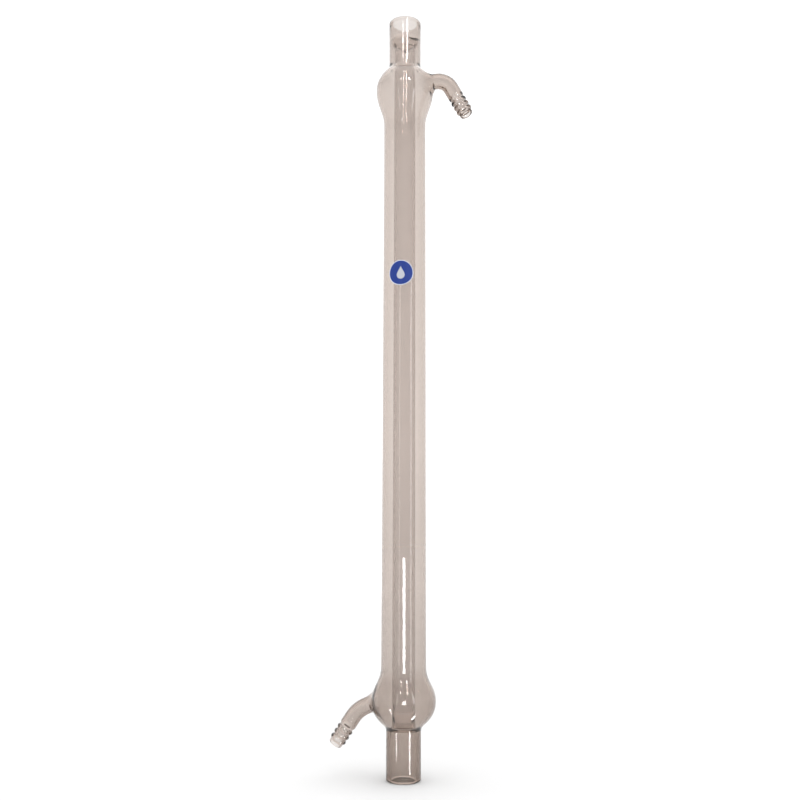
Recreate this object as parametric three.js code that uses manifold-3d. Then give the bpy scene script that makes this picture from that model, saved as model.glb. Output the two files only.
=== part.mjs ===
// Straight-tube laboratory condenser: a glass water jacket with a blown bulb at each end, a plain
// condensing tube down its middle, a neck above, a stem below, and two bent arms for cooling water.
// Millimetres, +Z up. The origin is the centre of the stem's lower rim, and both arms lie in the XZ plane.
import * as THREE from 'three';
import { mergeVertices } from 'three/addons/utils/BufferGeometryUtils.js';
import Module from 'manifold-3d';

const wasm = await Module();
wasm.setup();

// Facets of a round section: the main tubes, the arms, and the thin enamel badge.
const ROUND = 32;
const ARM_ROUND = 16;
const BADGE_ROUND = 96;
const CURVE_STEPS = 7;

// Heights of the welds and rims.
const STEM_TOP_Z = 27;
const JACKET_BOTTOM_Z = 28.6;
const BARREL_BOTTOM_Z = 62.3;
const BARREL_TOP_Z = 391.3;
const JACKET_TOP_Z = 428.9;
const NECK_RIM_Z = 460.3;

// Radii and walls of the main tubes.
const STEM_R = 10;
const STEM_WALL = 2.4;
const NECK_R = 10;
const NECK_WALL = 1.6;
const BARREL_R = 13;
const JACKET_WALL = 1.5;
// A bulb's widest radius and its height, and how far its curve leans towards the tube's end and the barrel.
const LOWER_BULB = { r: 18.5, z: 43.8, toEnd: 9.5, toBarrel: 8 };
const UPPER_BULB = { r: 17.75, z: 414.4, toEnd: 7, toBarrel: 9.4 };
// How gently the barrel opens into each bulb, and how each shoulder leaves its weld: outwards and along.
const BARREL_EASE = { low: 7.5, high: 8.9 };
const LOWER_SHOULDER = { out: 1.7, along: 3 };
const UPPER_SHOULDER = { out: 3.7, along: 3.5 };
const INNER_R = 6.6;
const INNER_WALL = 1.3;
const INNER_BOTTOM_Z = 33;
const INNER_TOP_Z = 443;
const SEAL_TOP_Z = 449.2;
const SEAL_EDGE = 1.4;

// Hose arms: a round tube that leaves a bulb, bends down and ends in ribs.
const ARM_R = 4.75;
const ARM_WALL = 1.35;
const RIB_COUNT = 3;
const RIB_PITCH = 3.5;
const RIB_CREST_R = 4.95;
const RIB_ROOT_R = 4.1;
// One rib's outline: shares of the pitch, with the share of the rib's height there.
const RIB_SHAPE = [[0, 0], [0.35, 0.75], [0.55, 1], [0.75, 0.75]];
const HOSE_BORE_R = 2.8;
const LIP_LENGTH = 2;
const LIP_R = 4.1;
const LIP_CHAMFER = { along: 0.5, outer: 0.35, inner: 0.2 };
const BORE_STEP = 2;
const RIM_ROUNDING = 0.5;
const WELD_GAP = 0.3;
// start: distance of the weld from the main axis and its height; drop: slope at the weld in degrees;
// lead: straight length before the bend; then the bend's radius and turn, and the straight end's length.
const OUTLET = { start: { u: 19.6, z: 417.7 }, drop: 0, lead: 0.5, bend: 11.4, turn: 62, tail: 21.3 };
const INLET = { start: { u: 20.8, z: 40.8 }, drop: 25.5, lead: 3.5, bend: 18.9, turn: 29.5, tail: 19.2 };
const PORT_DEPTH = 9;
const PORT_BORE_OVERRUN = 1;

// Enamel badge fired on the barrel: three thin layers, turned from the front towards the outlet side.
const BADGE_Z = 293.4;
const BADGE_TURN = 9.5;
const BADGE_R = 7.7;
const BADGE_BORDER = 0.4;
const LAYER = 0.2;
const LAYER_GAP = 0.05;
const SHELL_MARGIN = 1;
const PUNCH_STEPS = 16;
const DROP_HEIGHT = 7.8;
const DROP_R = 2.4;
const DROP_TIP = { width: 0.6, ease: 1.7 };

const glass = () => new THREE.MeshStandardMaterial({
  color: 0xcfc3ba, roughness: 0.05, metalness: 0, transparent: true, opacity: 0.4,
});
const enamel = (color) => new THREE.MeshStandardMaterial({ color, roughness: 0.35, metalness: 0 });

const v2 = (r, z) => new THREE.Vector2(r, z);
const radians = THREE.MathUtils.degToRad;

function named(name, geometry, material) {
  const mesh = new THREE.Mesh(geometry, material);
  mesh.name = name;
  return mesh;
}

// A closed profile of (radius, height) points turned about +Z.
function turned(profile, segments = ROUND) {
  return new THREE.LatheGeometry([...profile, profile[0]], segments).rotateX(Math.PI / 2);
}

function toSolid(geometry) {
  const bare = geometry.clone();
  bare.deleteAttribute('normal');
  bare.deleteAttribute('uv');
  const merged = mergeVertices(bare);
  const vertProperties = new Float32Array(merged.attributes.position.array);
  const triVerts = new Uint32Array(merged.index.array);
  return new wasm.Manifold(new wasm.Mesh({ numProp: 3, vertProperties, triVerts }));
}

function toGeometry(solid) {
  const { vertProperties, triVerts } = solid.getMesh();
  const geometry = new THREE.BufferGeometry();
  geometry.setAttribute('position', new THREE.BufferAttribute(vertProperties, 3));
  geometry.setIndex(new THREE.BufferAttribute(triVerts, 1));
  geometry.computeVertexNormals();
  return geometry;
}

// The jacket's outer outline from the lower weld to the upper one: two bulbs and the barrel between them.
function jacketOutline() {
  const low = LOWER_BULB;
  const high = UPPER_BULB;
  const leaveR = STEM_R + LOWER_SHOULDER.out;
  const leaveZ = JACKET_BOTTOM_Z + LOWER_SHOULDER.along;
  const footZ = BARREL_BOTTOM_Z - BARREL_EASE.low;
  const headZ = BARREL_TOP_Z + BARREL_EASE.high;
  const arriveR = NECK_R + UPPER_SHOULDER.out;
  const arriveZ = JACKET_TOP_Z - UPPER_SHOULDER.along;
  const path = new THREE.Path();
  path.moveTo(STEM_R, JACKET_BOTTOM_Z);
  path.bezierCurveTo(leaveR, leaveZ, low.r, low.z - low.toEnd, low.r, low.z);
  path.bezierCurveTo(low.r, low.z + low.toBarrel, BARREL_R, footZ, BARREL_R, BARREL_BOTTOM_Z);
  path.lineTo(BARREL_R, BARREL_TOP_Z);
  path.bezierCurveTo(BARREL_R, headZ, high.r, high.z - high.toBarrel, high.r, high.z);
  path.bezierCurveTo(high.r, high.z + high.toEnd, arriveR, arriveZ, NECK_R, JACKET_TOP_Z);
  return path.getPoints(CURVE_STEPS);
}

// The outline moved inwards by the wall. Its ends stay on the weld planes, at the bores of stem and neck.
function jacketBore(outline) {
  const inside = outline.slice(1, -1).map((point, i) => {
    const along = outline[i + 2].clone().sub(outline[i]).normalize();
    return v2(point.x - along.y * JACKET_WALL, point.y + along.x * JACKET_WALL);
  });
  return [v2(STEM_R - STEM_WALL, JACKET_BOTTOM_Z), ...inside, v2(NECK_R - NECK_WALL, JACKET_TOP_Z)];
}

// A straight cylinder from inside a bulb to the plane where the arm is welded on.
function portCylinder(arm, radius, beyond) {
  const length = PORT_DEPTH + beyond;
  const cylinder = new THREE.CylinderGeometry(radius, radius, length, ARM_ROUND);
  cylinder.rotateZ(-Math.PI / 2).translate(beyond - length / 2, 0, 0);
  return cylinder.rotateY(radians(arm.drop)).translate(arm.start.u, 0, arm.start.z);
}

const outletSide = (geometry) => geometry;
const inletSide = (geometry) => geometry.rotateZ(Math.PI);

// The blown jacket with a short pulled port for each arm.
function waterJacket() {
  const outline = jacketOutline();
  const bore = jacketBore(outline);
  const axisFrom = (points) => [v2(0, points.at(-1).y), v2(0, points[0].y)];
  const solidOf = (points) => toSolid(turned([...points, ...axisFrom(points)]));
  let outside = solidOf(outline);
  let hollow = solidOf(bore);
  for (const [arm, side] of [[OUTLET, outletSide], [INLET, inletSide]]) {
    outside = outside.add(toSolid(side(portCylinder(arm, ARM_R, 0))));
    hollow = hollow.add(toSolid(side(portCylinder(arm, ARM_R - ARM_WALL, PORT_BORE_OVERRUN))));
  }
  return toGeometry(outside.subtract(hollow));
}

// A quarter round about (r, z) on a rim's edge. up is 1 on a rim that faces up, and -1 on one facing down.
function rimEdge(r, z, up, quarter) {
  const from = (up * quarter * Math.PI) / 2;
  const to = from + (up * Math.PI) / 2;
  return new THREE.EllipseCurve(r, z, RIM_ROUNDING, RIM_ROUNDING, from, to, up < 0).getPoints(2);
}

// A plain tube whose end at rimZ is fire-polished: both edges of the rim are rounded.
function polishedTube(outerR, wall, weldZ, rimZ) {
  const up = Math.sign(rimZ - weldZ);
  const innerR = outerR - wall;
  const roundZ = rimZ - up * RIM_ROUNDING;
  const outerEdge = rimEdge(outerR - RIM_ROUNDING, roundZ, up, 0);
  const innerEdge = rimEdge(innerR + RIM_ROUNDING, roundZ, up, 1);
  const profile = [v2(outerR, weldZ), ...outerEdge, ...innerEdge, v2(innerR, weldZ)];
  return turned(up > 0 ? profile : profile.reverse());
}

function innerTube() {
  const bore = INNER_R - INNER_WALL;
  const profile = [v2(INNER_R, INNER_BOTTOM_Z), v2(INNER_R, INNER_TOP_Z), v2(bore, INNER_TOP_Z)];
  return turned([...profile, v2(bore, INNER_BOTTOM_Z)]);
}

// A hollow of fused glass between two surfaces that would meet at a sharp corner.
function fillet(from, corner, to) {
  return new THREE.QuadraticBezierCurve(from, corner, to).getPoints(CURVE_STEPS);
}

// The inner tube's lower end swells out into the full wall between stem and jacket.
function lowerRingSeal() {
  const bore = INNER_R - INNER_WALL;
  const footR = STEM_R - STEM_WALL;
  const footZ = JACKET_BOTTOM_Z;
  const waterSide = fillet(v2(footR, footZ), v2(INNER_R, footZ), v2(INNER_R, INNER_BOTTOM_Z));
  const boreSide = fillet(v2(bore, INNER_BOTTOM_Z), v2(bore, STEM_TOP_Z), v2(footR, STEM_TOP_Z));
  return turned([v2(STEM_R, STEM_TOP_Z), v2(STEM_R, footZ), ...waterSide, ...boreSide]);
}

// The inner tube's upper end flares out to the neck's inner wall.
function upperRingSeal() {
  const bore = INNER_R - INNER_WALL;
  const wallR = NECK_R - NECK_WALL;
  const edgeZ = SEAL_TOP_Z - SEAL_EDGE;
  const waterSide = fillet(v2(INNER_R, INNER_TOP_Z), v2(INNER_R, edgeZ), v2(wallR, edgeZ));
  const mouthSide = fillet(v2(wallR, SEAL_TOP_Z), v2(bore, SEAL_TOP_Z), v2(bore, INNER_TOP_Z));
  return turned([...waterSide, ...mouthSide]);
}

// The arm drawn straight along +Z: a tube, then smooth ribs and a lip at the hose end, on a narrower bore.
function straightArm(arm) {
  const tubeBore = ARM_R - ARM_WALL;
  const bendLength = radians(arm.turn) * arm.bend;
  const total = arm.lead + bendLength + arm.tail;
  const ribStart = total - LIP_LENGTH - RIB_COUNT * RIB_PITCH;
  const outside = [v2(ARM_R, WELD_GAP)];
  const inside = [v2(tubeBore, WELD_GAP)];
  const stations = CURVE_STEPS + 1;
  for (let i = 0; i <= stations; i++) {
    const s = arm.lead + (bendLength * i) / stations;
    outside.push(v2(ARM_R, s));
    inside.push(v2(tubeBore, s));
  }
  outside.push(v2(ARM_R, ribStart - BORE_STEP / 2));
  inside.push(v2(tubeBore, ribStart - BORE_STEP / 2), v2(HOSE_BORE_R, ribStart + BORE_STEP / 2));
  for (let i = 0; i < RIB_COUNT; i++) {
    for (const [part, height] of RIB_SHAPE) {
      const r = RIB_ROOT_R + height * (RIB_CREST_R - RIB_ROOT_R);
      outside.push(v2(r, ribStart + (i + part) * RIB_PITCH));
    }
  }
  outside.push(v2(RIB_ROOT_R, total - LIP_LENGTH), v2(LIP_R, total - LIP_CHAMFER.along));
  outside.push(v2(LIP_R - LIP_CHAMFER.outer, total), v2(HOSE_BORE_R + LIP_CHAMFER.inner, total));
  inside.push(v2(HOSE_BORE_R, total - LIP_CHAMFER.inner));
  return turned([...outside, ...inside.reverse()], ARM_ROUND);
}

// Where the arm's centre line is at the length s, and its slope below the horizontal there.
function armStation(arm, s) {
  const startAngle = radians(arm.drop);
  const bent = THREE.MathUtils.clamp((s - arm.lead) / arm.bend, 0, radians(arm.turn));
  const angle = startAngle + bent;
  const leadRun = Math.min(s, arm.lead);
  const tailRun = Math.max(0, s - arm.lead - radians(arm.turn) * arm.bend);
  const u = leadRun * Math.cos(startAngle) + arm.bend * (Math.sin(angle) - Math.sin(startAngle));
  const drop = leadRun * Math.sin(startAngle) + arm.bend * (Math.cos(startAngle) - Math.cos(angle));
  return {
    u: arm.start.u + u + tailRun * Math.cos(angle),
    z: arm.start.z - drop - tailRun * Math.sin(angle),
    angle,
  };
}

// Lays the straight arm along its bent centre line.
function bentArm(arm) {
  const geometry = straightArm(arm);
  const place = geometry.attributes.position;
  for (let i = 0; i < place.count; i++) {
    const station = armStation(arm, place.getZ(i));
    const across = place.getX(i);
    const x = station.u + across * Math.sin(station.angle);
    const z = station.z + across * Math.cos(station.angle);
    place.setXYZ(i, x, -place.getY(i), z);
  }
  geometry.computeVertexNormals();
  return geometry;
}

// One enamel layer: the part of a thin shell round the barrel that lies inside a flat outline.
function enamelLayer(level, outline) {
  const innerR = BARREL_R + LAYER_GAP + level * (LAYER + LAYER_GAP);
  const outerR = innerR + LAYER;
  const low = BADGE_Z - BADGE_R - SHELL_MARGIN;
  const high = BADGE_Z + BADGE_R + SHELL_MARGIN;
  const shell = turned([v2(outerR, low), v2(outerR, high), v2(innerR, high), v2(innerR, low)], BADGE_ROUND);
  const reach = { depth: 2 * BARREL_R, bevelEnabled: false, curveSegments: PUNCH_STEPS };
  const punch = new THREE.ExtrudeGeometry(outline, reach);
  punch.rotateX(Math.PI / 2).rotateZ(radians(BADGE_TURN)).translate(0, 0, BADGE_Z);
  return toGeometry(toSolid(shell).intersect(toSolid(punch)));
}

const discOutline = (radius) => new THREE.Shape().absarc(0, 0, radius, 0, 2 * Math.PI);

// A plain water drop, round below and pointed above.
function dropOutline() {
  const tip = DROP_HEIGHT / 2;
  const centre = DROP_R - tip;
  const shape = new THREE.Shape();
  shape.moveTo(0, tip);
  shape.bezierCurveTo(DROP_TIP.width, tip - DROP_TIP.ease, DROP_R, centre + DROP_TIP.ease, DROP_R, centre);
  shape.absarc(0, centre, DROP_R, 0, Math.PI, true);
  shape.bezierCurveTo(-DROP_R, centre + DROP_TIP.ease, -DROP_TIP.width, tip - DROP_TIP.ease, 0, tip);
  return shape;
}

const condenser = new THREE.Group();
condenser.add(
  named('water_jacket', waterJacket(), glass()),
  named('inner_tube', innerTube(), glass()),
  named('upper_ring_seal', upperRingSeal(), glass()),
  named('lower_ring_seal', lowerRingSeal(), glass()),
  named('neck_tube', polishedTube(NECK_R, NECK_WALL, JACKET_TOP_Z, NECK_RIM_Z), glass()),
  named('stem_tube', polishedTube(STEM_R, STEM_WALL, STEM_TOP_Z, 0), glass()),
  named('outlet_arm', bentArm(OUTLET), glass()),
  named('inlet_arm', inletSide(bentArm(INLET)), glass()),
  named('badge_backing', enamelLayer(0, discOutline(BADGE_R)), enamel(0xe8ebee)),
  named('badge_field', enamelLayer(1, discOutline(BADGE_R - BADGE_BORDER)), enamel(0x2a4aa0)),
  named('badge_mark', enamelLayer(2, dropOutline()), enamel(0xf2f4f6)),
);

export default condenser;
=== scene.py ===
"""Studio render of a blown glass condenser, built round its CAD frame. Metres, +Z up."""
import math

import bmesh
import bpy
import numpy as np
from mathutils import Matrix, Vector

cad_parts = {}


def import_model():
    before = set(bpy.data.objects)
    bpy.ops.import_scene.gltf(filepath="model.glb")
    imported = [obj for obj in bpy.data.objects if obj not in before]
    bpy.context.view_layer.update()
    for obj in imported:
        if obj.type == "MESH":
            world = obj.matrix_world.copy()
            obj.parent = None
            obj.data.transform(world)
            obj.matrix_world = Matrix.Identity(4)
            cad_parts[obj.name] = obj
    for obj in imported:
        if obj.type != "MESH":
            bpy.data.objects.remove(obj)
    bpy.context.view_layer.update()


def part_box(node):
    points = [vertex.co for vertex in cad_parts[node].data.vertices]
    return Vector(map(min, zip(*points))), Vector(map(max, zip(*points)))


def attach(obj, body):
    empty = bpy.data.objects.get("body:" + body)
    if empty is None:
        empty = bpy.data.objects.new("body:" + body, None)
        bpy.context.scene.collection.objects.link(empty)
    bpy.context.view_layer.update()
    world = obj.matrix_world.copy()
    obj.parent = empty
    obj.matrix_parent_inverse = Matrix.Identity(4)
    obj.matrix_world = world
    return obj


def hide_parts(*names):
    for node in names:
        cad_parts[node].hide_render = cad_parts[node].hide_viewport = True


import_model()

MM = 0.001

# ---------------------------------------------------------------- sizes taken from the frame
STEM_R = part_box("stem_tube")[1].x
NECK_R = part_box("neck_tube")[1].x
NECK_RIM_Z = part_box("neck_tube")[1].z
INNER_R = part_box("inner_tube")[1].x
INNER_LOW_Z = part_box("inner_tube")[0].z
INNER_HIGH_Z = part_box("inner_tube")[1].z
SEAL_HIGH_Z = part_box("upper_ring_seal")[1].z
LOWER_BULB_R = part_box("water_jacket")[1].y
badge_low, badge_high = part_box("badge_backing")
BADGE_Z = (badge_low.z + badge_high.z) / 2
BADGE_R = (badge_high.z - badge_low.z) / 2

# ---------------------------------------------------------------- sizes the frame doesn't give
# The jacket from its lower weld upwards.
JACKET_LOW_Z = 29.7 * MM
JACKET_LOW_R = 10.81 * MM
LOWER_BULB_Z = 43.8 * MM
BARREL_LOW_Z = 62.3 * MM
BARREL_HIGH_Z = 391.3 * MM
BARREL_R = 13 * MM
UPPER_BULB_Z = 414.4 * MM
UPPER_BULB_R = 17.75 * MM
JACKET_HIGH_Z = 427.8 * MM
JACKET_HIGH_R = 11.12 * MM

JACKET_WALL = 1.5 * MM
LOWER_BULB_EXTRA = 0.6 * MM
LOWER_BULB_REACH = 15 * MM
STEM_WALL = 2.7 * MM
NECK_WALL = 1.6 * MM
INNER_WALL = 1.3 * MM

# The throat is the inner corner between the upper bulb and the neck. Its curve starts along the bulb's wall.
THROAT_LOW_Z = 425 * MM
THROAT_PROBE = 0.5 * MM
THROAT_HANDLE = 2.2 * MM

# Neck and stem. The bead round each rim is thicker than the wall by twice the BEAD value.
NECK_BASE_Z = 432.5 * MM
NECK_WAIST = 0.15 * MM
NECK_BEAD = 0.2 * MM
NECK_RIM_LENGTH = 3 * MM
STEM_TOP_Z = 26.4 * MM
STEM_FLARE_Z = 27.2 * MM
STEM_BEAD = 0.05 * MM
STEM_RIM_LENGTH = 4 * MM
WATER_FLOOR_R = 8.4 * MM
TUBE_RINGS = 12
# Rings nearer than this to the jacket's own rim are left out.
JOIN_GAP = 0.1 * MM

# ---------------------------------------------------------------- unevenness of hand-worked glass
# How far blown glass strays from true, and the barrel's share of that.
WAVE = 0.12 * MM
BARREL_WAVE = 0.12
# Height and reach of the two blown places.
BLOWN_PLACES = ((44 * MM, 20 * MM), (412 * MM, 22 * MM))
# Lobes round the tube, radians per metre of height, phase, share.
JACKET_WAVES = ((2, 31, 0, 0.5), (3, -57, 1.3, 0.3), (0, 140, 0.4, 0.2))
INNER_OVAL = 0.02 * MM
INNER_OVAL_DRIFT = 9
SEAL_WANDER = 0.8 * MM
SEAL_REACH = 3 * MM
# Lobes round the seal, phase, share.
SEAL_WAVES = ((2, -0.9, 0.35), (3, 0.6, 0.4), (5, 2, 0.25))


# ---------------------------------------------------------------- mesh helpers
def bezier(start, control_1, control_2, end, steps):
    """Points of a cubic curve, without its last point."""
    t = np.arange(steps)[:, None] / steps
    p = [np.array(point, float) for point in (start, control_1, control_2, end)]
    return (1 - t) ** 3 * p[0] + 3 * (1 - t) ** 2 * t * p[1] + 3 * (1 - t) * t**2 * p[2] + t**3 * p[3]


def arc(centre, radius, start_deg, end_deg, steps):
    """Points of a circular arc in the (r, z) plane, both ends included."""
    a = np.radians(np.linspace(start_deg, end_deg, steps + 1))
    return np.column_stack([centre[0] + radius * np.cos(a), centre[1] + radius * np.sin(a)])


def straight(r, start_z, end_z, count):
    """Points along a tube's wall, both ends included."""
    return [(r, z) for z in np.linspace(start_z, end_z, count)]


def bridge(bm, loop, after):
    """Joins two closed loops of equally many vertices by a band of faces."""
    for i in range(len(loop)):
        bm.faces.new((loop[i - 1], loop[i], after[i], after[i - 1]))


def finish_mesh(bm, name, sharp_deg=40):
    """Closes the work on a piece: faces outwards, smooth shading with true corners kept."""
    bmesh.ops.recalc_face_normals(bm, faces=bm.faces)
    mesh = bpy.data.meshes.new(name)
    bm.to_mesh(mesh)
    bm.free()
    mesh.shade_smooth()
    mesh.set_sharp_from_angle(angle=math.radians(sharp_deg))
    piece = bpy.data.objects.new(name, mesh)
    bpy.context.scene.collection.objects.link(piece)
    return piece


TURNED_SEGMENTS = 128


def turned(name, profile, warp):
    """Turns a closed (r, z) profile about the main axis. warp(r, z, angles) bends it out of true."""
    angles = np.linspace(0, 2 * math.pi, TURNED_SEGMENTS, endpoint=False)
    bm = bmesh.new()
    rings = []
    for r, z in profile:
        ring_r, ring_z, _ = np.broadcast_arrays(*warp(r, z, angles), angles)
        points = np.column_stack([ring_r * np.cos(angles), ring_r * np.sin(angles), ring_z])
        rings.append([bm.verts.new(p) for p in points])
    for ring, after in zip(rings, rings[1:] + rings[:1]):
        bridge(bm, ring, after)
    return finish_mesh(bm, name)


# ---------------------------------------------------------------- outlines of the blown jacket
CURVE_STEPS = 40
BARREL_STEPS = 20


def jacket_outline():
    """Outer outline of the jacket as dense (r, z) points, from the lower weld to the upper one."""
    lower_weld, upper_weld = (JACKET_LOW_R, JACKET_LOW_Z), (JACKET_HIGH_R, JACKET_HIGH_Z)
    lower_bulb, upper_bulb = (LOWER_BULB_R, LOWER_BULB_Z), (UPPER_BULB_R, UPPER_BULB_Z)
    foot, head = (BARREL_R, BARREL_LOW_Z), (BARREL_R, BARREL_HIGH_Z)
    return np.vstack([
        bezier(lower_weld, (13.24 * MM, 32.34 * MM), (LOWER_BULB_R, 35.44 * MM), lower_bulb, CURVE_STEPS),
        bezier(lower_bulb, (LOWER_BULB_R, 51.8 * MM), (BARREL_R, 54.8 * MM), foot, CURVE_STEPS),
        bezier(foot, (BARREL_R, 172 * MM), (BARREL_R, 281.6 * MM), head, BARREL_STEPS),
        bezier(head, (BARREL_R, 400.2 * MM), (UPPER_BULB_R, 405 * MM), upper_bulb, CURVE_STEPS),
        bezier(upper_bulb, (UPPER_BULB_R, 420.7 * MM), (14.47 * MM, 424.6 * MM), upper_weld, CURVE_STEPS),
        [upper_weld],
    ])


def radius_at(outline, z):
    """Radius of an outline at a height."""
    return np.interp(z, outline[:, 1], outline[:, 0])


def wall_at(z):
    """Wall thickness of the jacket: even, with more glass gathered in the lower bulb."""
    return JACKET_WALL + LOWER_BULB_EXTRA * np.exp(-(((z - LOWER_BULB_Z) / LOWER_BULB_REACH) ** 4))


def offset_inwards(outline):
    """The outline moved inwards by the wall, its ends carried on to the planes of the outline's ends."""
    along = np.gradient(outline, axis=0)
    along /= np.linalg.norm(along, axis=1)[:, None]
    inside = outline + wall_at(outline[:, 1])[:, None] * np.column_stack([-along[:, 1], along[:, 0]])
    for end in (0, -1):
        inside[end] += along[end] * (outline[end, 1] - inside[end, 1]) / along[end, 1]
    return inside[np.argsort(inside[:, 1])]


def with_throat(bore):
    """The jacket's inside, with its corner towards the neck rounded as the outer one is."""
    return np.vstack([bore[bore[:, 1] < THROAT_LOW_Z], throat(bore)])


def throat(bore):
    """The rounded inner corner between the upper bulb and the neck, from below."""
    start_r = radius_at(bore, THROAT_LOW_Z)
    slope = (radius_at(bore, THROAT_LOW_Z + THROAT_PROBE) - start_r) / THROAT_PROBE
    lean = (start_r + slope * THROAT_HANDLE, THROAT_LOW_Z + THROAT_HANDLE)
    neck_bore = NECK_R - NECK_WALL
    return bezier((start_r, THROAT_LOW_Z), lean, (neck_bore, 429.6 * MM), (neck_bore, NECK_BASE_Z), steps=24)


def wavy(z, angle):
    """How far blown glass strays from its true radius: most on the bulbs, little on the barrel."""
    blown = sum(np.exp(-((z - height) / reach) ** 2) for height, reach in BLOWN_PLACES)
    waves = sum(share * np.sin(lobes * angle + drift * z + phase)
                for lobes, drift, phase, share in JACKET_WAVES)
    return WAVE * waves * (BARREL_WAVE + blown)


# ---------------------------------------------------------------- the jacket's ports
class Port:
    """A short pulled tube on a bulb, where a hose arm is welded on.

    side is 1 towards +X and -1 towards -X. Its end plane is out from the main axis and at the height z.
    The jacket's cage has a row at row_z, and further rows row_step apart below and above it.
    """

    def __init__(self, side, out, z, drop_deg, row_z, row_step):
        drop = math.radians(drop_deg)
        self.azimuth = 0.0 if side > 0 else math.pi
        self.axis = Vector((side * math.cos(drop), 0, -math.sin(drop)))
        self.up = Vector((side * math.sin(drop), 0, math.cos(drop)))
        self.end = Vector((side * out * MM, 0, z * MM))
        self.row_z = row_z * MM
        self.row_step = row_step * MM

    def point(self, angle, radius, depth):
        """A point round the port's axis, depth behind its end plane. The angle starts at +Y."""
        across = Vector((0, 1, 0)) * math.cos(angle) + self.up * math.sin(angle)
        return self.end + across * radius - self.axis * depth

    def polar(self, point):
        """Distance of a point from the port's axis, and its angle from the port's upward direction."""
        away = point - self.end
        sideways, upward = away.y, away.dot(self.up)
        return math.hypot(sideways, upward), math.atan2(sideways, upward)


OUTLET_PORT = Port(side=1, out=19.6, z=417.7, drop_deg=0, row_z=417.7, row_step=3.0)
INLET_PORT = Port(side=-1, out=20.8, z=40.8, drop_deg=25.5, row_z=42.0, row_step=3.3)
PORTS = (OUTLET_PORT, INLET_PORT)
PORT_REACH = 12 * MM
HALVINGS = 40

# ---------------------------------------------------------------- the jacket's cage
COLUMNS = 32
# Rows beside each port, counted from its middle row, and the barrel's first row, last row and count.
INLET_ROWS = range(-3, 8)
OUTLET_ROWS = range(-10, 4)
BARREL_ROWS = (75 * MM, 380 * MM, 12)
# Rows and columns that a port takes out of the cage.
PORT_SPAN = 6
EIGHTH_TURN = math.pi / 4
# Rings between the bulb and a port: how far outside the port's radius, and how far lifted off the bulb.
FILLET_RINGS = ((3.15 * MM, 0.0), (1.85 * MM, 0.5 * MM), (0.75 * MM, 1.45 * MM))
# How far behind the port's end plane the last ring but one lies.
OUTER_LIP = 1.0 * MM
INNER_LIP = 1.6 * MM
SUBDIVISIONS = 2


def row_heights():
    """Heights of the cage's rows: close together on the bulbs, wide apart on the barrel."""
    low = [JACKET_LOW_Z] + [INLET_PORT.row_z + k * INLET_PORT.row_step for k in INLET_ROWS]
    high = [OUTLET_PORT.row_z + k * OUTLET_PORT.row_step for k in OUTLET_ROWS] + [JACKET_HIGH_Z]
    return [*low, *np.linspace(*BARREL_ROWS), *high]


def smoothing_excess(count):
    """Ratio by which smoothing draws in a round cage of count points, made good beforehand."""
    return 3 / (2 + math.cos(2 * math.pi / count))


def cage_row(bm, outline, z):
    """One level ring of the cage."""
    r = radius_at(outline, z) * smoothing_excess(COLUMNS)
    angles = np.arange(COLUMNS) * 2 * math.pi / COLUMNS
    return [bm.verts.new((r * math.cos(a), r * math.sin(a), z)) for a in angles]


def port_hole(port, heights):
    """First row and first column of the square of faces that the cage leaves out for a port."""
    middle_row = min(range(len(heights)), key=lambda i: abs(heights[i] - port.row_z))
    middle_column = round(port.azimuth / (2 * math.pi) * COLUMNS)
    return middle_row - PORT_SPAN // 2, middle_column - PORT_SPAN // 2


def in_hole(i, j, hole):
    """Whether a face of the cage falls in a hole."""
    row, column = hole
    return row <= i < row + PORT_SPAN and (j - column) % COLUMNS < PORT_SPAN


def hole_square(grid, hole):
    """The cage's points round a hole, in order."""
    row, column = hole
    n = PORT_SPAN
    steps = [(row, column + k) for k in range(n)] + [(row + k, column + n) for k in range(n)]
    steps += [(row + n, column + n - k) for k in range(n)] + [(row + n - k, column) for k in range(n)]
    return [grid[i][j % COLUMNS] for i, j in steps]


def points_in_hole(grid, hole):
    """The cage's points inside a hole, which no face uses."""
    row, column = hole
    inner = range(1, PORT_SPAN)
    return [grid[row + a][(column + b) % COLUMNS] for a in inner for b in inner]


def ring_angles(square, port):
    """Even angles round a port's axis, one for each point of the square, that start and turn as it does."""
    away = [vertex.co - port.end for vertex in square[:2]]
    first, second = (math.atan2(a.dot(port.up), a.y) for a in away)
    turn = 1 if math.sin(second - first) > 0 else -1
    start = round(first / EIGHTH_TURN) * EIGHTH_TURN
    return [start + turn * 2 * math.pi * k / len(square) for k in range(len(square))]


def surface_depth(port, angle, radius, outline):
    """Depth behind the port's end plane at which a line along its axis meets the jacket's surface."""
    near, far = 0.0, PORT_REACH
    for _ in range(HALVINGS):
        middle = (near + far) / 2
        p = port.point(angle, radius, middle)
        outside = math.hypot(p.x, p.y) > radius_at(outline, p.z)
        near, far = (middle, far) if outside else (near, middle)
    return near


def cage_port(bm, square, port, outline, port_r, lip_depth):
    """Joins a square hole in the cage to rings that rise smoothly into the port's round tube."""
    angles = ring_angles(square, port)
    excess = smoothing_excess(len(square))
    loops = [square]
    for outside, lift in FILLET_RINGS:
        radius = port_r + outside
        depths = [surface_depth(port, a, radius, outline) - lift for a in angles]
        loops.append([bm.verts.new(port.point(a, radius * excess, d)) for a, d in zip(angles, depths)])
    for depth in (lip_depth, 0.0):
        loops.append([bm.verts.new(port.point(a, port_r * excess, depth)) for a in angles])
    for loop, after in zip(loops, loops[1:]):
        bridge(bm, loop, after)


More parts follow.
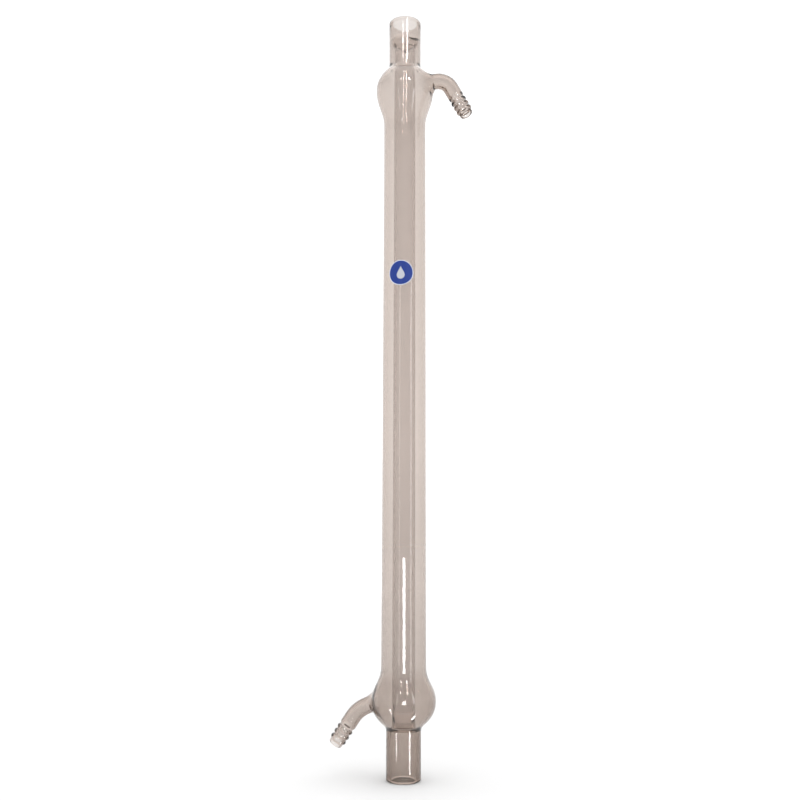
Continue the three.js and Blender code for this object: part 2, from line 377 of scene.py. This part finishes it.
def cage_surface(bm, outline, port_r, lip_depth):
    """One skin of the jacket's cage, open at both ends and at the two ports."""
    heights = row_heights()
    grid = [cage_row(bm, outline, z) for z in heights]
    holes = [port_hole(port, heights) for port in PORTS]
    for i, (row, above) in enumerate(zip(grid, grid[1:])):
        for j in range(COLUMNS):
            if not any(in_hole(i, j, hole) for hole in holes):
                k = (j + 1) % COLUMNS
                bm.faces.new((row[j], row[k], above[k], above[j]))
    for port, hole in zip(PORTS, holes):
        cage_port(bm, hole_square(grid, hole), port, outline, port_r, lip_depth)
    unused = [vertex for hole in holes for vertex in points_in_hole(grid, hole)]
    bmesh.ops.delete(bm, geom=unused, context="VERTS")


def subdivide(piece, levels):
    """Smooths a piece's cage and keeps the result as its mesh."""
    modifier = piece.modifiers.new("smooth", "SUBSURF")
    modifier.levels = modifier.render_levels = levels
    shape = bpy.data.meshes.new_from_object(piece.evaluated_get(bpy.context.evaluated_depsgraph_get()))
    piece.modifiers.clear()
    old, piece.data = piece.data, shape
    bpy.data.meshes.remove(old)


SKIN_SLACK = 0.35 * MM
PORT_CLEAR_R = 8.5 * MM
PORT_CLEAR_FADE = 2.5 * MM


def clear_of_ports(co):
    """For each point: 0 round a port, rising to 1 away from both."""
    clear = np.ones(len(co))
    for port in PORTS:
        axis = np.array(port.axis)
        away = co - np.array(port.end)
        along = away @ axis
        across = np.linalg.norm(away - along[:, None] * axis, axis=1)
        near_port = (along > -PORT_REACH) & (co[:, 0] * axis[0] > 0)
        fade = np.clip((across - PORT_CLEAR_R) / PORT_CLEAR_FADE, 0, 1)
        clear[near_port] = np.minimum(clear, fade)[near_port]
    return clear


def settle_jacket(mesh, outline, bore):
    """Brings both skins to their true radii away from the ports, and adds the waviness of blown glass."""
    co = np.empty(len(mesh.vertices) * 3)
    mesh.vertices.foreach_get("co", co)
    co = co.reshape(-1, 3)
    r = np.hypot(co[:, 0], co[:, 1])
    angle = np.arctan2(co[:, 1], co[:, 0])
    to_outer = radius_at(outline, co[:, 2]) - r
    to_inner = radius_at(bore, co[:, 2]) - r
    step = np.where(abs(to_outer) < abs(to_inner), to_outer, to_inner)
    step = np.where(abs(step) < SKIN_SLACK, step, 0)
    new_r = r + (step + wavy(co[:, 2], angle)) * clear_of_ports(co)
    co[:, 0], co[:, 1] = new_r * np.cos(angle), new_r * np.sin(angle)
    mesh.vertices.foreach_set("co", co.ravel())
    mesh.update()


# ---------------------------------------------------------------- stem and neck
def stem_profile():
    """From the jacket's lower end down the stem, round its rim, up the bore and back to the water space."""
    side, inside, bore = STEM_R - STEM_BEAD, STEM_R - STEM_WALL, INNER_R - INNER_WALL
    weld, water_floor = (JACKET_LOW_R, JACKET_LOW_Z), (WATER_FLOOR_R, JACKET_LOW_Z)
    shoulder = bezier(weld, (10.2 * MM, 28.9 * MM), (side, 28.2 * MM), (side, STEM_TOP_Z), steps=10)[1:]
    wall = straight(side, STEM_TOP_Z, STEM_RIM_LENGTH, TUBE_RINGS)
    bead = STEM_WALL / 2 + STEM_BEAD
    rim = arc((STEM_R - bead, bead), bead, 0, -180, steps=14)
    channel = straight(inside, STEM_RIM_LENGTH, STEM_FLARE_Z, TUBE_RINGS)
    flare = bezier(channel[-1], (inside, 29.2 * MM), (bore, 29.5 * MM), (bore, INNER_LOW_Z), steps=18)[1:]
    tube_foot = (INNER_R, INNER_LOW_Z)
    fillet = bezier(tube_foot, (INNER_R, 30.4 * MM), (7.1 * MM, 29.6 * MM), water_floor, steps=12)
    return [*shoulder, *wall, *rim, *channel, *flare, (bore, INNER_LOW_Z), *fillet]


def neck_profile():
    """From the jacket's upper end up the neck, round its rim and down its bore."""
    waist, bore, weld = NECK_R - NECK_WAIST, NECK_R - NECK_WALL, (JACKET_HIGH_R, JACKET_HIGH_Z)
    shoulder = bezier(weld, (10.1 * MM, 428.9 * MM), (waist, 430.4 * MM), (waist, NECK_BASE_Z), steps=14)[1:]
    rim_start = NECK_RIM_Z - NECK_RIM_LENGTH
    wall = [(NECK_R - NECK_WAIST * (1 - t**2), NECK_BASE_Z + t * (rim_start - NECK_BASE_Z))
            for t in np.linspace(0, 1, TUBE_RINGS)]
    bead = NECK_WALL / 2 + NECK_BEAD
    rim = arc((NECK_R - bead, NECK_RIM_Z - bead), bead, 0, 180, steps=14)
    inside = straight(bore, rim_start, NECK_BASE_Z, TUBE_RINGS)
    foot = throat(offset_inwards(jacket_outline()))[::-1]
    foot = foot[foot[:, 1] > JACKET_HIGH_Z + JOIN_GAP]
    return [*shoulder, *wall, *rim, *inside, *foot]


def turn_on(bm, loop, profile):
    """Continues a skin from its open edge through rings of an (r, z) profile. Returns the last ring."""
    for r, z in profile:
        ring = []
        for vertex in loop:
            angle = math.atan2(vertex.co.y, vertex.co.x)
            true_r = r + float(wavy(z, angle))
            ring.append(bm.verts.new((true_r * math.cos(angle), true_r * math.sin(angle), z)))
        bridge(bm, loop, ring)
        loop = ring
    return loop


# ---------------------------------------------------------------- hose arms
class Arm:
    """Centre line of a bent arm, in the XZ plane, from its port to the hose end.

    It runs straight for lead, bends with the radius bend through turn_deg, and runs straight for tail.
    """

    def __init__(self, port, lead, bend, turn_deg, tail):
        self.port = port
        self.side = math.copysign(1, port.axis.x)
        self.drop = math.acos(abs(port.axis.x))
        self.lead, self.bend, self.tail = lead * MM, bend * MM, tail * MM
        self.turn = math.radians(turn_deg)
        self.length = self.lead + self.bend * self.turn + self.tail

    def station(self, s):
        """Distance from the main axis, height and slope at the length s."""
        slope = self.drop + min(max((s - self.lead) / self.bend, 0), self.turn)
        lead, tail = min(s, self.lead), max(0, s - self.length + self.tail)
        out = abs(self.port.end.x) + lead * math.cos(self.drop) + tail * math.cos(slope)
        z = self.port.end.z - lead * math.sin(self.drop) - tail * math.sin(slope)
        out += self.bend * (math.sin(slope) - math.sin(self.drop))
        z -= self.bend * (math.cos(self.drop) - math.cos(slope))
        return out, z, slope

    def ring(self, s, radius, angles):
        """A ring of points round the centre line, by their angles from the upward direction."""
        out, z, slope = self.station(s)
        across, sideways = radius * np.cos(angles), radius * np.sin(angles)
        x = self.side * (out + across * math.sin(slope))
        return np.column_stack([x, sideways, z + across * math.cos(slope)])


OUTLET = Arm(OUTLET_PORT, lead=0.5, bend=11.4, turn_deg=62, tail=21.3)
INLET = Arm(INLET_PORT, lead=3.5, bend=18.9, turn_deg=29.5, tail=19.2)
ARM_R = 4.75 * MM
ARM_WALL = 1.9 * MM
ARM_RINGS = 40
WELD_STEP = 0.4 * MM
NECKING = 1.6 * MM
RIB_COUNT = 3
RIB_PITCH = 3.5 * MM
RIB_RINGS = 16
RIB_LEAN = 1.16
RIB_CREST_R = 4.95 * MM
RIB_ROOT_R = 4.1 * MM
HOSE_BORE_R = 2.8 * MM
LIP_LENGTH = 2 * MM
LIP_R = 4.03 * MM


def rib_radius(part):
    """Radius over one rib's pitch: a slow rise to a rounded crest, then a quicker fall."""
    bump = math.sin(math.pi * part**RIB_LEAN) ** 2
    return RIB_ROOT_R + (RIB_CREST_R - RIB_ROOT_R) * bump


def arm_profile(arm):
    """(length, radius) down the arm's outside, over the ribs, round the lip and back up its bore."""
    lip_start = arm.length - LIP_LENGTH
    rib_start = lip_start - RIB_COUNT * RIB_PITCH
    weld_to_ribs = np.linspace(WELD_STEP, rib_start - NECKING, ARM_RINGS)
    outside = [(s, ARM_R) for s in weld_to_ribs]
    for t in (0.25, 0.5, 0.75):
        ease = t * t * (3 - 2 * t)
        outside.append((rib_start - NECKING * (1 - t), ARM_R + (RIB_ROOT_R - ARM_R) * ease))
    for i in range(RIB_COUNT * RIB_RINGS):
        outside.append((rib_start + i * RIB_PITCH / RIB_RINGS, rib_radius(i % RIB_RINGS / RIB_RINGS)))
    outside.append((lip_start, RIB_ROOT_R))
    bead = (LIP_R - HOSE_BORE_R) / 2
    lip = [(s, r) for r, s in arc((LIP_R - bead, arm.length - bead), bead, 0, 180, steps=12)]
    inside = [(s, HOSE_BORE_R) for s in np.linspace(lip_start, rib_start, RIB_RINGS)]
    inside += [(s, ARM_R - ARM_WALL) for s in weld_to_ribs[::-1]]
    return outside + lip + inside


def draw_arm(bm, loop, arm):
    """Carries a port's outer rim along the arm and back up its bore. Returns the last ring."""
    angles = np.array([arm.port.polar(vertex.co)[1] for vertex in loop])
    for s, radius in arm_profile(arm):
        ring = [bm.verts.new(p) for p in arm.ring(s, radius, angles)]
        bridge(bm, loop, ring)
        loop = ring
    return loop


# ---------------------------------------------------------------- the fused glass body
SAME_PLANE = 0.02 * MM
ANGLE_SLACK = 0.01


def about_axis(point):
    """Distance of a point from the main axis, and its angle."""
    return math.hypot(point.x, point.y), math.atan2(point.y, point.x)


def rim_pair(verts, polar):
    """The open rims of the outer and the inner skin at one place, each a loop sorted by angle."""
    by_distance = sorted(verts, key=lambda v: -polar(v.co)[0])
    half = len(by_distance) // 2
    halves = by_distance[:half], by_distance[half:]
    return [sorted(part, key=lambda v: (polar(v.co)[1] + ANGLE_SLACK) % (2 * math.pi)) for part in halves]


def jacket_skins():
    """A bmesh of the jacket's outer and inner skin, smoothed from one cage and still open."""
    outline = jacket_outline()
    bore = with_throat(offset_inwards(outline))
    bm = bmesh.new()
    cage_surface(bm, outline, ARM_R, OUTER_LIP)
    cage_surface(bm, bore, ARM_R - ARM_WALL, INNER_LIP)
    cage = finish_mesh(bm, "jacket_cage")
    subdivide(cage, SUBDIVISIONS)
    settle_jacket(cage.data, outline, bore)
    skins = bmesh.new()
    skins.from_mesh(cage.data)
    bpy.data.objects.remove(cage)
    return skins


def blown_body():
    """Jacket, neck, stem, lower ring seal and both arms, which are fused into one piece of glass.

    The tubes are carried on from the open rims of the jacket's two skins.
    """
    bm = jacket_skins()
    edge = {v for e in bm.edges if e.is_boundary for v in e.verts}
    low = {v for v in edge if abs(v.co.z - JACKET_LOW_Z) < SAME_PLANE}
    high = {v for v in edge if abs(v.co.z - JACKET_HIGH_Z) < SAME_PLANE}
    for rim, profile in ((high, neck_profile()), (low, stem_profile())):
        outer, inner = rim_pair(rim, about_axis)
        bridge(bm, turn_on(bm, outer, profile), inner)
    for arm in (OUTLET, INLET):
        rim = {v for v in edge - low - high if v.co.x * arm.side > 0}
        outer, inner = rim_pair(rim, arm.port.polar)
        bridge(bm, draw_arm(bm, outer, arm), inner)
    return finish_mesh(bm, "blown_body_glass")


# ---------------------------------------------------------------- condensing tube and its upper seal
INNER_RINGS = 60
# How far a piece runs into its neighbour, and how far the edges of its end are drawn in.
OVERLAP = 0.03 * MM
TUCK = 0.02 * MM
SEAL_EDGE = 1.4 * MM


def inner_tube():
    """The condensing tube, open at both ends."""
    bore = INNER_R - INNER_WALL
    low, high = INNER_LOW_Z - OVERLAP, INNER_HIGH_Z + OVERLAP
    outside = straight(INNER_R, INNER_LOW_Z, INNER_HIGH_Z, INNER_RINGS)
    top = [(INNER_R - TUCK, high), (bore + TUCK, high)]
    inside = [(bore, z) for _, z in outside[::-1]]
    bottom = [(bore + TUCK, low), (INNER_R - TUCK, low)]
    return turned("inner_tube_glass", [*outside, *top, *inside, *bottom], drawn_warp)


def drawn_warp(r, z, angle):
    """Drawn tube is a little out of round, and the error drifts slowly along its length."""
    return r + INNER_OVAL * np.sin(2 * angle + INNER_OVAL_DRIFT * z), z


def upper_ring_seal():
    """The flare that closes the water space inside the neck, a little uneven as such seals are."""
    bore, wall = INNER_R - INNER_WALL, NECK_R - NECK_WALL + OVERLAP
    low, high = INNER_HIGH_Z, SEAL_HIGH_Z
    edge = (wall, high - SEAL_EDGE)
    below = (INNER_R, high - 2.7 * MM), (wall - 0.35 * MM, high - 3.7 * MM)
    above = (wall - 0.4 * MM, high - 2 * MM), (bore, high - 1.6 * MM)
    water_side = bezier((INNER_R, low), *below, edge, steps=18)
    mouth_side = bezier((wall, high), *above, (bore, low), steps=18)
    return turned("upper_seal_glass", [*water_side, edge, *mouth_side, (bore, low)], sagging)


def sagging(r, z, angle):
    """Lets the hot-worked seal wander in height, most at its outer edge."""
    reach = np.clip((r - INNER_R + INNER_WALL) / SEAL_REACH, 0, 1)
    wander = sum(share * np.sin(lobes * angle + phase) for lobes, phase, share in SEAL_WAVES)
    return r, z + SEAL_WANDER * reach * (wander - 1)


# ---------------------------------------------------------------- enamel badge
BADGE_TURN = math.radians(9.5)
BADGE_BORDER = 0.4 * MM
BADGE_LIFT = 0.03 * MM
BADGE_SEGMENTS = 96
ENAMEL = 0.05 * MM
# A layer's rings as shares of its outline, and its height: nearly full over the face, half at the very edge.
ENAMEL_RINGS = (0.25, 0.5, 0.75, 0.92, 0.985, 1)
ENAMEL_FACE = 0.98
ENAMEL_EDGE_DROP = 0.5
ENAMEL_EDGE_POWER = 24
DROP_HEIGHT = 7.8 * MM
DROP_R = 2.4 * MM
DROP_HANDLE = 1.6 * MM
DROP_TIP_WIDTH = 0.25 * DROP_R
DROP_MIDDLE = (0, DROP_R - DROP_HEIGHT / 2)


def circle_outline(radius):
    """A round outline about the badge's middle."""
    a = np.linspace(0, 2 * math.pi, BADGE_SEGMENTS, endpoint=False)
    return np.column_stack([radius * np.cos(a), radius * np.sin(a)])


def drop_outline():
    """A water drop, pointed above and round below, with half its height over the badge's middle."""
    tip = DROP_HEIGHT - DROP_R
    shoulder = (DROP_TIP_WIDTH, tip - DROP_HANDLE)
    flank = bezier((DROP_R, 0), (DROP_R, DROP_HANDLE), shoulder, (0, tip), steps=24)
    left = flank[:0:-1] * [-1, 1]
    below = arc((0, 0), DROP_R, 180, 360, steps=40)[:-1]
    return np.vstack([flank, [[0, tip]], left, below]) + DROP_MIDDLE


def on_barrel(u, v, r):
    """A point of the badge, u round the barrel and v up from the badge's middle, at the radius r."""
    angle = -math.pi / 2 + BADGE_TURN + u / BARREL_R
    return r * math.cos(angle), r * math.sin(angle), BADGE_Z + v


def enamel_skin(bm, outline, centre, radius_of):
    """One face of a layer: a fan at its centre, then rings out to its outline. Returns the last ring."""
    centre = np.array(centre)
    middle = bm.verts.new(on_barrel(*centre, radius_of(0)))
    rings = []
    for share in ENAMEL_RINGS:
        points = centre + (outline - centre) * share
        rings.append([bm.verts.new(on_barrel(u, v, radius_of(share))) for u, v in points])
    for i in range(len(outline)):
        bm.faces.new((middle, rings[0][i - 1], rings[0][i]))
    for ring, after in zip(rings, rings[1:]):
        bridge(bm, ring, after)
    return rings[-1]


def enamel_disc(name, outline, level, centre=(0, 0)):
    """A thin enamel layer laid round the barrel, thinning to a soft edge."""
    low = BARREL_R + BADGE_LIFT + level * ENAMEL
    bm = bmesh.new()
    face = enamel_skin(bm, outline, centre, lambda share: low + ENAMEL * enamel_height(share))
    back = enamel_skin(bm, outline, centre, lambda share: low)
    bridge(bm, face, back)
    return finish_mesh(bm, name, sharp_deg=60)


def enamel_height(share):
    """Height of a layer's face, as a share of its thickness."""
    return ENAMEL_FACE - ENAMEL_EDGE_DROP * share**ENAMEL_EDGE_POWER


# ---------------------------------------------------------------- materials
# Absorption per metre of glass, for red, green and blue. This beige grey is painted shade: it stands in for
# dim surroundings seen through glass that is really clear.
JACKET_SHADE_ABSORB = (188, 227, 253)
INNER_SHADE_ABSORB = (118, 134, 140)
# Surface unevenness: its height, and how close together it lies along X, Y and Z.
DRAWN_WAVES = (0.01 * MM, (320, 320, 14))
WORKED_WAVES = (0.02 * MM, (150, 150, 110))
WHITE = (0.46, 0.48, 0.53)
BORDER_WHITE = (0.66, 0.7, 0.8)
BLUE = (0.006, 0.032, 0.22)


def new_material(name):
    """A material with its node tree, and the shader that it starts with."""
    material = bpy.data.materials.new(name)
    material.use_nodes = True
    nodes = material.node_tree.nodes
    return material, nodes, material.node_tree.links, nodes["Principled BSDF"]


def glass(name, shade_absorb, waves):
    """Clear borosilicate glass with a faint warm tint, and drawn or worked unevenness in its surface. Its
    absorbing volume is painted shade: a beige grey that stands in for dim surroundings seen through the
    glass.
    """
    material, nodes, links, shader = new_material(name)
    shader.inputs["Base Color"].default_value = (0.985, 0.98, 0.975, 1)
    shader.inputs["Roughness"].default_value = 0.0
    shader.inputs["IOR"].default_value = 1.473
    shader.inputs["Transmission Weight"].default_value = 1.0
    # A density above the strongest absorption keeps every channel of the colour above 0.
    density = max(shade_absorb) * 1.05
    # Painted shade: the volume's absorption darkens the clear glass as dim surroundings would.
    volume = nodes.new("ShaderNodeVolumeAbsorption")
    volume.inputs["Density"].default_value = density
    volume.inputs["Color"].default_value = (*(1 - a / density for a in shade_absorb), 1)
    links.new(volume.outputs[0], nodes["Material Output"].inputs["Volume"])

    wave_height, wave_scale = waves
    place = nodes.new("ShaderNodeTexCoord")
    stretch = nodes.new("ShaderNodeMapping")
    stretch.inputs["Scale"].default_value = wave_scale
    links.new(place.outputs["Object"], stretch.inputs["Vector"])
    noise = nodes.new("ShaderNodeTexNoise")
    noise.inputs["Scale"].default_value = 1.0
    noise.inputs["Detail"].default_value = 1.5
    links.new(stretch.outputs[0], noise.inputs["Vector"])
    bump = nodes.new("ShaderNodeBump")
    bump.inputs["Distance"].default_value = wave_height
    bump.inputs["Strength"].default_value = 1.0
    links.new(noise.outputs["Fac"], bump.inputs["Height"])
    links.new(bump.outputs[0], shader.inputs["Normal"])
    return material


def enamel(name, colour, speck):
    """Fired enamel: an even colour with a faint mottle and the slight orange-peel of a printed layer."""
    material, nodes, links, shader = new_material(name)
    noise = nodes.new("ShaderNodeTexNoise")
    noise.inputs["Scale"].default_value = 1800
    noise.inputs["Detail"].default_value = 3
    place = nodes.new("ShaderNodeTexCoord")
    links.new(place.outputs["Object"], noise.inputs["Vector"])
    tones = nodes.new("ShaderNodeValToRGB")
    dark, light = tones.color_ramp.elements
    dark.position = 0.35
    light.position = 0.65
    dark.color = (*(c * (1 - speck) for c in colour), 1)
    light.color = (*(min(1, c * (1 + speck)) for c in colour), 1)
    links.new(noise.outputs["Fac"], tones.inputs["Fac"])
    links.new(tones.outputs["Color"], shader.inputs["Base Color"])
    shader.inputs["Roughness"].default_value = 0.32
    shader.inputs["Specular IOR Level"].default_value = 0.25
    bump = nodes.new("ShaderNodeBump")
    bump.inputs["Distance"].default_value = 0.01 * MM
    links.new(noise.outputs["Fac"], bump.inputs["Height"])
    links.new(bump.outputs[0], shader.inputs["Normal"])
    return material


# ---------------------------------------------------------------- the object
FUSED = ("water_jacket", "neck_tube", "stem_tube", "lower_ring_seal", "outlet_arm", "inlet_arm")


def build_object():
    """Makes every visible piece, on the one rigid body."""
    inner = glass("inner_tube_glass", INNER_SHADE_ABSORB, DRAWN_WAVES)
    blown = glass("blown_glass", JACKET_SHADE_ABSORB, DRAWN_WAVES)
    worked = glass("worked_glass", JACKET_SHADE_ABSORB, WORKED_WAVES)
    white = enamel("white_enamel", WHITE, 0.03)
    border = enamel("backing_enamel", BORDER_WHITE, 0.03)
    blue = enamel("blue_enamel", BLUE, 0.08)
    body, tube, seal = blown_body(), inner_tube(), upper_ring_seal()
    backing = enamel_disc("badge_backing_enamel", circle_outline(BADGE_R), 0)
    field = enamel_disc("badge_field_enamel", circle_outline(BADGE_R - BADGE_BORDER), 1)
    mark = enamel_disc("badge_mark_enamel", drop_outline(), 2, DROP_MIDDLE)
    pieces = [
        (body, blown, FUSED),
        (tube, inner, ("inner_tube",)),
        (seal, worked, ("upper_ring_seal",)),
        (backing, border, ("badge_backing",)),
        (field, blue, ("badge_field",)),
        (mark, white, ("badge_mark",)),
    ]
    for piece, material, nodes in pieces:
        piece.data.materials.append(material)
        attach(piece, "root")
        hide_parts(*nodes)


# ---------------------------------------------------------------- studio
CAMERA_AZIMUTH = math.radians(20)
CAMERA_DISTANCE = 0.5702
CAMERA_HEIGHT = 0.1334
CAMERA_ASIDE = -0.00255
CAMERA_TILT = math.radians(8.45)
CAMERA_ROLL = math.radians(0.16)
CAMERA_LENS = 43.25
CAMERA_SENSOR = 36

# Brightness of the studio round the object: sine of the height above the horizon, and share of SKY_STRENGTH.
SKY_STRENGTH = 1.6
SKY = ((0.0, 0.77), (0.1, 0.845), (0.38, 0.83), (0.45, 0.76), (0.51, 0.7), (0.7, 0.85), (0.9, 1.0))
FLOOR_R = 40

# Name, azimuth in degrees, distance, lower end, upper end, width, radiance, and seen through glass or not.
STRIPS = (
    ("high_strip", 36.7, 1.5, 1.1, 1.36, 0.16, 48, True),
    ("high_left_strip", 5, 1.5, 1.08, 1.29, 0.1, 22, True),
    ("low_strip", 20.8, 0.45, 0.004, 0.118, 0.11, 22, False),
    ("side_strip", 55, 0.5, 0.004, 0.43, 0.06, 5, False),
    ("left_strip", -4, 0.5, 0.004, 0.43, 0.03, 5, False),
    ("stem_strip", 55, 0.03, 0.001, 0.024, 0.004, 24, False),
    ("stem_left_strip", -24, 0.06, 0.001, 0.026, 0.005, 26, False),
)


def camera():
    """Stands in front of the object, below its middle, and looks up a little."""
    data = bpy.data.cameras.new("camera")
    data.lens = CAMERA_LENS
    data.sensor_width = CAMERA_SENSOR
    data.clip_start = 0.01
    cam = bpy.data.objects.new("camera", data)
    right = Vector((math.cos(CAMERA_AZIMUTH), math.sin(CAMERA_AZIMUTH), 0))
    back = Vector((math.sin(CAMERA_AZIMUTH), -math.cos(CAMERA_AZIMUTH), 0))
    cam.location = back * CAMERA_DISTANCE + right * CAMERA_ASIDE + Vector((0, 0, CAMERA_HEIGHT))
    look = -back * math.cos(CAMERA_TILT) + Vector((0, 0, math.sin(CAMERA_TILT)))
    turn = look.to_track_quat("-Z", "Y").to_matrix().to_4x4()
    turn.translation = cam.location
    cam.matrix_world = turn
    cam.rotation_euler.rotate_axis("Z", CAMERA_ROLL)
    bpy.context.scene.collection.objects.link(cam)
    bpy.context.scene.camera = cam


def strip_light(name, azimuth_deg, distance, low, high, width, radiance, through_glass):
    """A soft upright strip that faces the object. It is mirrored in the glass, and isn't seen itself.

    Azimuth 0 is at -Y, and 90 at +X. through_glass lets inner walls mirror it too. That suits a light too
    high to be looked at through the glass.
    """
    azimuth = math.radians(azimuth_deg)
    outwards = Vector((math.sin(azimuth), -math.cos(azimuth), 0))
    height = high - low
    data = bpy.data.lights.new(name, "AREA")
    data.shape = "RECTANGLE"
    data.size, data.size_y = width, height
    data.energy = radiance * math.pi * width * height
    lamp = bpy.data.objects.new(name, data)
    lamp.location = outwards * distance + Vector((0, 0, (low + high) / 2))
    lamp.rotation_mode = "QUATERNION"
    lamp.rotation_quaternion = (-outwards).to_track_quat("-Z", "Y")
    lamp.visible_camera = False
    lamp.visible_diffuse = False
    lamp.visible_transmission = through_glass
    bpy.context.scene.collection.objects.link(lamp)


def world():
    """A white studio whose brightness goes by height, after SKY."""
    scene = bpy.context.scene
    scene.world = bpy.data.worlds.new("studio")
    scene.world.use_nodes = True
    nodes, links = scene.world.node_tree.nodes, scene.world.node_tree.links
    place = nodes.new("ShaderNodeTexCoord")
    split = nodes.new("ShaderNodeSeparateXYZ")
    links.new(place.outputs["Generated"], split.inputs[0])
    ramp = nodes.new("ShaderNodeValToRGB")
    stops = ramp.color_ramp.elements
    while len(stops) < len(SKY):
        stops.new(1.0)
    for stop, (height, share) in zip(stops, SKY):
        stop.position = height
        stop.color = (share, share, share, 1)
    links.new(split.outputs["Z"], ramp.inputs["Fac"])
    background = nodes["Background"]
    background.inputs["Strength"].default_value = SKY_STRENGTH
    links.new(ramp.outputs["Color"], background.inputs["Color"])


def floor():
    """A plain pale floor with painted shade: darker round the object's foot, a little lighter away from it.
    """
    bm = bmesh.new()
    bmesh.ops.create_circle(bm, cap_ends=True, segments=96, radius=FLOOR_R)
    mesh = bpy.data.meshes.new("floor")
    bm.to_mesh(mesh)
    bm.free()
    ground = bpy.data.objects.new("floor", mesh)
    bpy.context.scene.collection.objects.link(ground)
    material, nodes, links, shader = new_material("floor_paper_painted_shade")
    place = nodes.new("ShaderNodeTexCoord")
    away = nodes.new("ShaderNodeVectorMath")
    away.operation = "LENGTH"
    links.new(place.outputs["Object"], away.inputs[0])
    # Painted shade: the floor's colour is darkest at the object's foot and lightens outwards, as a contact
    # shadow would.
    shade = nodes.new("ShaderNodeMapRange")
    shade.inputs["From Min"].default_value = 0.05
    shade.inputs["From Max"].default_value = 2.2
    shade.inputs["To Min"].default_value = 0.765
    shade.inputs["To Max"].default_value = 0.88
    links.new(away.outputs["Value"], shade.inputs["Value"])
    links.new(shade.outputs["Result"], shader.inputs["Base Color"])
    shader.inputs["Roughness"].default_value = 0.9
    shader.inputs["Specular IOR Level"].default_value = 0.1
    mesh.materials.append(material)


def studio():
    """The camera, the surroundings and the lights."""
    scene = bpy.context.scene
    scene.view_settings.view_transform = "Standard"
    scene.cycles.max_bounces = 40
    scene.cycles.transmission_bounces = 40
    scene.cycles.glossy_bounces = 16
    scene.cycles.sample_clamp_indirect = 40
    camera()
    world()
    floor()
    for strip in STRIPS:
        strip_light(*strip)


build_object()
studio()
